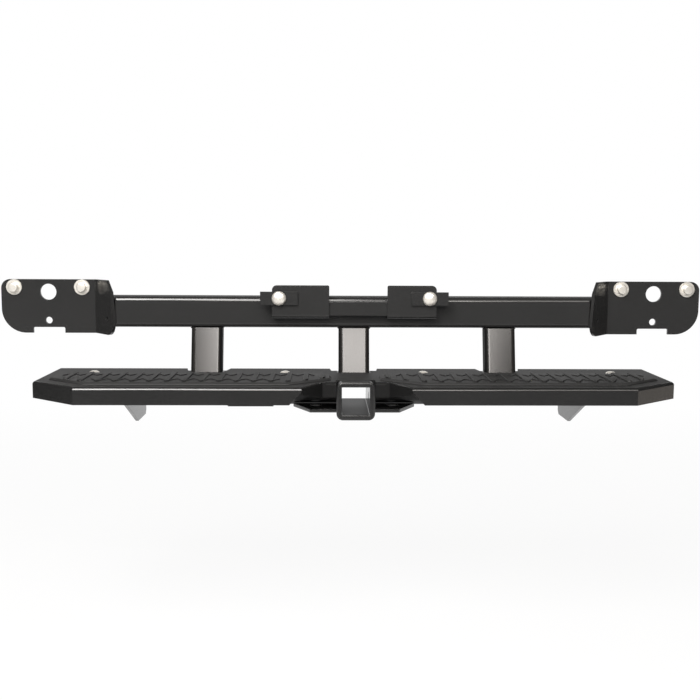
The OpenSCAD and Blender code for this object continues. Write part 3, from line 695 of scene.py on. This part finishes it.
def rounded_square(half, radius, y, steps=10):
    """Points of a square with rounded corners about the Y axis, in millimetres."""
    points = []
    for quarter, (across, up) in enumerate(((1, 1), (-1, 1), (-1, -1), (1, -1))):
        for k in range(steps + 1):
            a = math.radians(90.0 * (quarter + k / steps))
            points.append((across * (half - radius) + radius * math.cos(a), y,
                           up * (half - radius) + radius * math.sin(a)))
    return points


def sleeve(name, loops):
    """A closed sleeve from rounded squares, each (half width, corner radius, y) in millimetres."""
    work = bmesh.new()
    rings = [[work.verts.new(Vector(point) * MM) for point in rounded_square(*loop)] for loop in loops]
    for near, far in zip(rings, rings[1:] + rings[:1]):
        for k in range(len(near)):
            around = (k + 1) % len(near)
            work.faces.new([near[k], near[around], far[around], far[k]])
    mesh = mesh_of(name, work)
    mesh.shade_smooth()
    mesh.set_sharp_from_angle(angle=CREASE_ANGLE)
    return mesh


def hexagon_nut(name, flats, low, high):
    """A nut round the Z axis, its corners chamfered at both ends."""
    def outline(width):
        radius = width / 2 / math.cos(math.pi / 6)
        return [(radius * math.cos(math.tau * k / 6), radius * math.sin(math.tau * k / 6)) for k in range(6)]
    return layered(name, ((outline(flats - 1.4), low), (outline(flats), low + 1.0),
                          (outline(flats), high - 0.3), (outline(flats - 0.4), high)))


def inset(points, gap):
    """A closed outline moved inwards by a gap, whichever way it runs."""
    count = len(points)
    area = sum(points[k][0] * points[(k + 1) % count][1] - points[(k + 1) % count][0] * points[k][1]
               for k in range(count))
    way = 1.0 if area > 0 else -1.0
    moved = []
    for k in range(count):
        before = Vector(points[k]) - Vector(points[k - 1])
        after = Vector(points[(k + 1) % count]) - Vector(points[k])
        first = Vector((-before.y, before.x)).normalized() * way
        second = Vector((-after.y, after.x)).normalized() * way
        reach = (first + second) / (1.0 + first.dot(second))
        moved.append((points[k][0] + reach.x * gap, points[k][1] + reach.y * gap))
    return moved


class HITCHSTEP_OT_crossbar(bpy.types.Operator):
    """Coats the crossbar and the bar that carries the centre brackets"""
    bl_idname = "hitchstep.crossbar"
    bl_label = "Crossbar"

    def execute(self, context):
        edge = context.scene.step_sizes.tube_edge
        for node in ("crossbar", "mount_bar"):
            coated(node, "frame_coat", edge)
        return {"FINISHED"}


class HITCHSTEP_OT_end_brackets(bpy.types.Operator):
    """Coats the folded end brackets"""
    bl_idname = "hitchstep.end_brackets"
    bl_label = "End Brackets"

    def execute(self, context):
        for side in ("left", "right"):
            coated("end_bracket_" + side, "plate_coat", context.scene.step_sizes.plate_edge)
        return {"FINISHED"}


class HITCHSTEP_OT_centre_brackets(bpy.types.Operator):
    """Coats the centre brackets and their straps"""
    bl_idname = "hitchstep.centre_brackets"
    bl_label = "Centre Brackets"

    def execute(self, context):
        for node in ("centre_bracket_left", "centre_bracket_right", "strap_left", "strap_right"):
            coated(node, "plate_coat", context.scene.step_sizes.plate_edge)
        return {"FINISHED"}


class HITCHSTEP_OT_posts(bpy.types.Operator):
    """Coats the three leaning posts"""
    bl_idname = "hitchstep.posts"
    bl_label = "Posts"

    def execute(self, context):
        for place in ("left", "centre", "right"):
            coated("post_" + place, "post_coat", context.scene.step_sizes.tube_edge)
        return {"FINISHED"}


class HITCHSTEP_OT_receiver(bpy.types.Operator):
    """Coats the receiver tube, its collar and the chain plates"""
    bl_idname = "hitchstep.receiver"
    bl_label = "Receiver"

    def execute(self, context):
        sizes = context.scene.step_sizes
        tube = coated("receiver_tube", "frame_coat", sizes.tube_edge,
                      lambda x, y, z: y < MOUTH_Y + 0.1 and max(abs(x), abs(z)) < BORE_HALF + 0.1, 1.6)
        dress(tube, "tube_coat_gloss")
        edge = 2.4
        loops = [(TUBE_HALF, TUBE_CORNER, COLLAR_REAR_Y), (TUBE_HALF, TUBE_CORNER, MOUTH_Y)]
        for a in range(0, 91, 15):
            grown = edge * math.sin(math.radians(a)) - edge
            loops.append((COLLAR_HALF + grown, COLLAR_CORNER + grown,
                          MOUTH_Y + edge - edge * math.cos(math.radians(a))))
        loops += [(COLLAR_HALF, COLLAR_CORNER, COLLAR_REAR_Y - 0.7),
                  (COLLAR_HALF - 0.7, COLLAR_CORNER - 0.7, COLLAR_REAR_Y)]
        collar = add_object("receiver_collar_finished", sleeve("receiver_collar_finished", loops))
        settle(collar, "frame_coat", "receiver_collar")
        dress(collar, "collar_coat_gloss")
        for side in ("left", "right"):
            coated("chain_plate_" + side, "frame_coat", sizes.tube_edge)
        return {"FINISHED"}


class HITCHSTEP_OT_underframe(bpy.types.Operator):
    """Coats the crossmembers, rails, gussets and the trailer socket's bracket"""
    bl_idname = "hitchstep.underframe"
    bl_label = "Underframe"

    def execute(self, context):
        sizes = context.scene.step_sizes
        for side in ("left", "right"):
            coated("crossmember_" + side, "frame_coat", sizes.tube_edge)
            coated("step_rail_" + side, "frame_coat", sizes.plate_edge)
            coated("gusset_" + side, "plate_coat", sizes.plate_edge)
        coated("socket_bracket", "plate_coat", sizes.plate_edge)
        return {"FINISHED"}


class HITCHSTEP_OT_step_sheet(bpy.types.Operator):
    """Coats the folded sheet of the step"""
    bl_idname = "hitchstep.step_sheet"
    bl_label = "Step Sheet"

    def execute(self, context):
        sheet = coated("step_plate", "frame_coat", context.scene.step_sizes.plate_edge,
                       merge=SHEET_MERGE_GAP)
        dress(sheet, "sheet_coat_gloss")
        return {"FINISHED"}


class HITCHSTEP_OT_tread_pads(bpy.types.Operator):
    """Moulds the two tread pads with their ribs and vees"""
    bl_idname = "hitchstep.tread_pads"
    bl_label = "Tread Pads"

    def execute(self, context):
        sizes = context.scene.step_sizes
        top = STEP_TOP_Z + sizes.pad_height / MM
        rubber = finish("pad_rubber_moulded")
        row = row_tree()
        for side, way in (("left", -1.0), ("right", 1.0)):
            outline = [(x * way, y) for x, y in PAD_OUTLINE]
            body = add_object("tread_pad_%s_body" % side, layered("tread_pad_%s_body" % side, (
                (outline, STEP_TOP_Z), (outline, STEP_TOP_Z + 1.0),
                (inset(outline, 4.0), top))))
            body.data.shade_smooth()
            round_edges(body, 0.8 * MM)
            settle(body, "pad_rubber", "tread_pad_" + side)
            half = sizes.rib_width / MM / 2
            bar = [(-half, -40.0 + half), (0.0, -40.0), (half, -40.0 + half),
                   (half, 40.0 - half), (0.0, 40.0), (-half, 40.0 - half)]
            crest = sizes.rib_height / MM
            ribs = add_object("tread_ribs_" + side, layered("tread_ribs_" + side, (
                (bar, top - 0.6), (bar, top + crest - 0.9), (inset(bar, 0.35), top + crest - 0.25),
                (inset(bar, 1.1), top + crest))))
            first = 45.0 + 15.5 if way > 0 else -(45.0 + 15.5)
            grow(ribs, row, {
                "Count": sizes.rib_count, "Pitch": way * sizes.rib_pitch, "First X": first * MM,
                "Middle Y": 0.0, "Front Y": -88.5 * MM, "Rear Y": 24.5 * MM, "Half Length": 40.0 * MM,
                "Inner X": way * 114.0 * MM, "Inner Slope": way * 0.79,
                "Outer X": way * 492.0 * MM, "Outer Slope": way * 0.82,
                "Heel X": way * 66.0 * MM, "Heel Slope": way * 1.59,
                "Stretch": 1.0, "Material": rubber})
            settle(ribs, "pad_rubber")
            for place, count, start, front, turn in (("front", 11, 153.5, -75.0, 1.0),
                                                     ("rear", 15, 91.5, 11.0, -1.0)):
                run = 26.0 * turn
                vee = [(0.0, -9.0 * turn), (15.5, run - 9.0 * turn), (15.5, run), (0.0, 0.0),
                       (-15.5, run), (-15.5, run - 9.0 * turn)]
                name = "tread_vees_%s_%s" % (place, side)
                vees = add_object(name, layered(name, (
                    (vee, top - 0.6), (vee, top + 0.9), (inset(vee, 0.6), top + 1.5))))
                grow(vees, row, {
                    "Count": count, "Pitch": way * sizes.rib_pitch, "First X": way * start * MM,
                    "Middle Y": front * MM, "Stretch": 0.0, "Material": rubber})
                settle(vees, "pad_rubber")
        return {"FINISHED"}


def fastener(name, model, points, material, size=1.0):
    """Copies of a fastener's model at these points, as one piece."""
    mesh = bpy.data.meshes.new(name)
    mesh.from_pydata([Vector(p) * MM for p in points], [], [])
    piece = add_object(name, mesh)
    grow(piece, fastener_tree(), {"Fastener": model, "Size": size, "Material": material})
    bpy.data.objects.remove(model)
    return piece


def facing_front(mesh):
    """Turns a part made along +Z so that its crown looks along -Y."""
    for vertex in mesh.vertices:
        x, y, z = vertex.co
        vertex.co = (x, -z, y)
    return mesh


class HITCHSTEP_OT_end_bolts(bpy.types.Operator):
    """Makes the round-headed end bolts and their washers"""
    bl_idname = "hitchstep.end_bolts"
    bl_label = "End Bolts"

    def execute(self, context):
        sizes = context.scene.step_sizes
        zinc = finish("zinc_bright")
        half = sizes.end_head_width / MM / 2
        rim = sizes.washer_width / MM / 2
        head = [(0.0, -34.0), (5.2, -34.0), (6.0, -33.2), (6.0, 0.0), (5.5, 0.4), (5.5, 8.5),
                (half, 8.5), (half, 14.5)]
        head += [(half - 2.6 + 2.6 * math.cos(math.radians(a)), 14.9 + 2.6 * math.sin(math.radians(a)))
                 for a in range(0, 91, 15)]
        head += [(0.0, 17.5)]
        washer = [(6.5, 6.0), (rim - 0.5, 6.0), (rim, 6.5), (rim, 7.9), (rim - 0.6, 8.5), (6.5, 8.5),
                  (6.5, 6.0)]
        for side, way in (("left", -1.0), ("right", 1.0)):
            spots = [(way * 541.0, 150.0, 195.0), (way * 675.0, 150.0, 195.0)]
            for kind, profile in (("bolts", head), ("washers", washer)):
                name = "end_%s_%s" % (kind, side)
                model = add_object(name + "_model", facing_front(turned(name + "_model", profile)))
                piece = fastener(name + "_finished", model, spots, zinc)
                settle(piece, "zinc", name)
        return {"FINISHED"}


class HITCHSTEP_OT_domed_bolts(bpy.types.Operator):
    """Makes the domed bolts of the straps and the step, and their nuts"""
    bl_idname = "hitchstep.domed_bolts"
    bl_label = "Domed Bolts"

    def execute(self, context):
        sizes = context.scene.step_sizes
        zinc = finish("zinc_bright")
        strap_spots = [(x, 55.0, 179.5) for x in (-145.0, 145.0)]
        strap = [(0.0, -21.6), (5.2, -21.6), (6.0, -20.8), (6.0, 0.0)]
        strap += dome_profile(sizes.strap_head_width / MM, 7.5, 1.2)
        model = add_object("strap_model", facing_front(turned("strap_model", strap)))
        settle(fastener("strap_bolts_finished", model, strap_spots, zinc), "zinc", "strap_bolts")
        step_spots = [(x, 49.5, STEP_TOP_Z) for x in (-498.0, -133.0, 133.0, 498.0)]
        step = [(0.0, -16.4), (3.4, -16.4), (4.0, -15.8), (4.0, 0.0)]
        step += dome_profile(sizes.step_head_width / MM, 5.0, 0.9)
        model = add_object("step_model", turned("step_model", step))
        settle(fastener("step_bolts_finished", model, step_spots, zinc), "zinc", "step_bolts")
        model = add_object("strap_nut", facing_front(hexagon_nut("strap_nut", 19.2, -19.6, -10.0)))
        settle(fastener("strap_nuts_finished", model, strap_spots, zinc), "zinc", "strap_nuts")
        model = add_object("step_nut", hexagon_nut("step_nut", 12.8, -14.4, -8.0))
        settle(fastener("step_nuts_finished", model, step_spots, zinc), "zinc", "step_nuts")
        return {"FINISHED"}


def frame_joint_lines():
    """The lines that the welders ran along, as lists of points in millimetres."""
    lines = []
    for x in POST_X:
        for edge in (x - POST_HALF - 0.4, x + POST_HALF + 0.4):
            for (front, rear), level in ((POST_FOOT_Y, DECK_Z + 0.6), (POST_HEAD_Y, BAR_LOW_Z - 0.6)):
                lines.append([(edge, front + 11.0, level), (edge, rear - 9.0, level)])
    return lines


class HITCHSTEP_OT_welds(bpy.types.Operator):
    """Lays weld beads along the frame's joints"""
    bl_idname = "hitchstep.welds"
    bl_label = "Welds"

    def execute(self, context):
        sizes = context.scene.step_sizes
        points = []
        edges = []
        for line in frame_joint_lines():
            for place in line:
                points.append(Vector(place) * MM)
            first = len(points) - len(line)
            edges += [(k, k + 1) for k in range(first, len(points) - 1)]
        mesh = bpy.data.meshes.new("weld_beads")
        mesh.from_pydata(points, edges, [])
        beads = add_object("weld_beads", mesh)
        grow(beads, weld_tree(), {
            "Width": sizes.weld_width, "Ripple": 3.2 * MM, "Step": 0.8 * MM,
            "Material": finish("frame_coat_gloss")})
        settle(beads, "frame_coat")
        return {"FINISHED"}


def studio_plane(name, corners, material):
    """A plain four-sided surface of the stage."""
    mesh = bpy.data.meshes.new(name)
    mesh.from_pydata(corners, [], [(0, 1, 2, 3)])
    mesh.materials.append(material)
    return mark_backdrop(add_object(name, mesh))


def soft_lamp(name, place, target, size, power, rgb):
    """A square soft lamp that looks at a point."""
    data = bpy.data.lights.new(name, "AREA")
    data.shape = "RECTANGLE"
    data.size, data.size_y = size
    data.energy = power
    data.color = rgb
    lamp = add_object(name, data)
    lamp.location = place
    lamp.visible_camera = False
    lamp.rotation_euler = (Vector(target) - Vector(place)).to_track_quat("-Z", "Y").to_euler()
    return lamp


class HITCHSTEP_OT_stage(bpy.types.Operator):
    """Sets the floor, the backdrop, the lamps and the camera"""
    bl_idname = "hitchstep.stage"
    bl_label = "Stage"

    def execute(self, context):
        stage = context.scene.step_stage
        low = CAD_BOX[0][2] - stage.floor_drop
        floor = studio_white("studio_floor_white", stage.floor_colour, 0.92)
        wall = studio_white("studio_wall_white", stage.floor_colour, 1.0)
        studio_plane("studio_floor", [(-2.7, -2.3, low), (2.7, -2.3, low), (2.7, 4, low), (-2.7, 4, low)],
                     floor)
        studio_plane("studio_backdrop", [(-2.7, 4, low), (2.7, 4, low), (2.7, 4, 3), (-2.7, 4, 3)], wall)
        middle = (0.0, 0.0, 0.08)
        soft_lamp("lamp_key", (0.06, -2.6, 0.98), (0.06, 0.0, 0.08), (1.35, 0.45), stage.key_power,
                  (1.0, 0.95, 0.91))
        soft_lamp("lamp_left", (-1.1, -2.0, 1.97), middle, (0.75, 1.85), stage.left_power,
                  (1.0, 0.98, 0.96))
        soft_lamp("lamp_middle", (-0.32, -2.2, 1.97), middle, (0.75, 1.75), stage.middle_power,
                  (1.0, 0.98, 0.96))
        soft_lamp("lamp_right", (0.85, -2.1, 1.5), middle, (1.2, 1.0), stage.right_power,
                  (1.0, 0.96, 0.90))
        soft_lamp("lamp_front", (0.0, -3.0, -0.2), (0.0, 0.0, -0.2), (4.4, 0.5), stage.front_power,
                  (1.0, 1.0, 1.0))
        soft_lamp("lamp_side", (2.6, 0.35, -0.25), (0.5, 0.0, 0.0), (0.9, 0.5), stage.side_power,
                  (1.0, 0.9, 0.8))
        world = bpy.data.worlds.new("studio_air")
        context.scene.world = world
        world.use_nodes = True
        air = world.node_tree.nodes["Background"].inputs["Color"]
        air.default_value = (stage.air, stage.air, stage.air, 1.0)
        context.scene.view_settings.view_transform = "Standard"
        self.set_camera(context)
        return {"FINISHED"}

    def set_camera(self, context):
        """Puts the camera where the photograph was taken from."""
        cos_pitch = math.cos(CAMERA_PITCH)
        ahead = Vector((math.sin(CAMERA_YAW) * cos_pitch, math.cos(CAMERA_YAW) * cos_pitch,
                        -math.sin(CAMERA_PITCH)))
        level = Vector((math.cos(CAMERA_YAW), -math.sin(CAMERA_YAW), 0.0))
        above = level.cross(ahead)
        right = level * math.cos(CAMERA_ROLL) + above * math.sin(CAMERA_ROLL)
        up = above * math.cos(CAMERA_ROLL) - level * math.sin(CAMERA_ROLL)
        data = bpy.data.cameras.new("photo_camera")
        data.lens = CAMERA_LENS
        data.sensor_width = CAMERA_SENSOR
        data.sensor_fit = "HORIZONTAL"
        data.clip_start = 0.01
        camera = add_object("photo_camera", data)
        turn = camera.matrix_world.to_3x3()
        turn.col[0], turn.col[1], turn.col[2] = right, up, -ahead
        camera.matrix_world = turn.to_4x4()
        camera.location = CAMERA_PLACE
        context.scene.camera = camera


PIECES = (
    HITCHSTEP_OT_stage, HITCHSTEP_OT_crossbar, HITCHSTEP_OT_end_brackets,
    HITCHSTEP_OT_centre_brackets, HITCHSTEP_OT_posts, HITCHSTEP_OT_receiver,
    HITCHSTEP_OT_underframe, HITCHSTEP_OT_step_sheet, HITCHSTEP_OT_tread_pads,
    HITCHSTEP_OT_end_bolts, HITCHSTEP_OT_domed_bolts, HITCHSTEP_OT_welds,
)


class HITCHSTEP_PT_panel(bpy.types.Panel):
    """Lists the pieces of the step"""
    bl_idname = "HITCHSTEP_PT_panel"
    bl_label = "Hitch Step"
    bl_space_type = "VIEW_3D"
    bl_region_type = "UI"
    bl_category = "Hitch Step"

    def draw(self, context):
        for group in ("step_sizes", "step_finishes", "step_stage"):
            settings = getattr(context.scene, group)
            column = self.layout.column(align=True)
            for name in settings.__annotations__:
                column.prop(settings, name)
        for piece in PIECES:
            self.layout.operator(piece.bl_idname)


GROUPS = (("step_sizes", StepSizes), ("step_finishes", StepFinishes), ("step_stage", StepStage))


def register():
    for name, group in GROUPS:
        bpy.utils.register_class(group)
        setattr(bpy.types.Scene, name, PointerProperty(type=group))
    for piece in PIECES:
        bpy.utils.register_class(piece)
    bpy.utils.register_class(HITCHSTEP_PT_panel)


def unregister():
    bpy.utils.unregister_class(HITCHSTEP_PT_panel)
    for piece in reversed(PIECES):
        bpy.utils.unregister_class(piece)
    for name, group in reversed(GROUPS):
        delattr(bpy.types.Scene, name)
        bpy.utils.unregister_class(group)


def main():
    register()
    for piece in PIECES:
        family, action = piece.bl_idname.split(".")
        getattr(getattr(bpy.ops, family), action)()


if __name__ == "__main__":
    main()
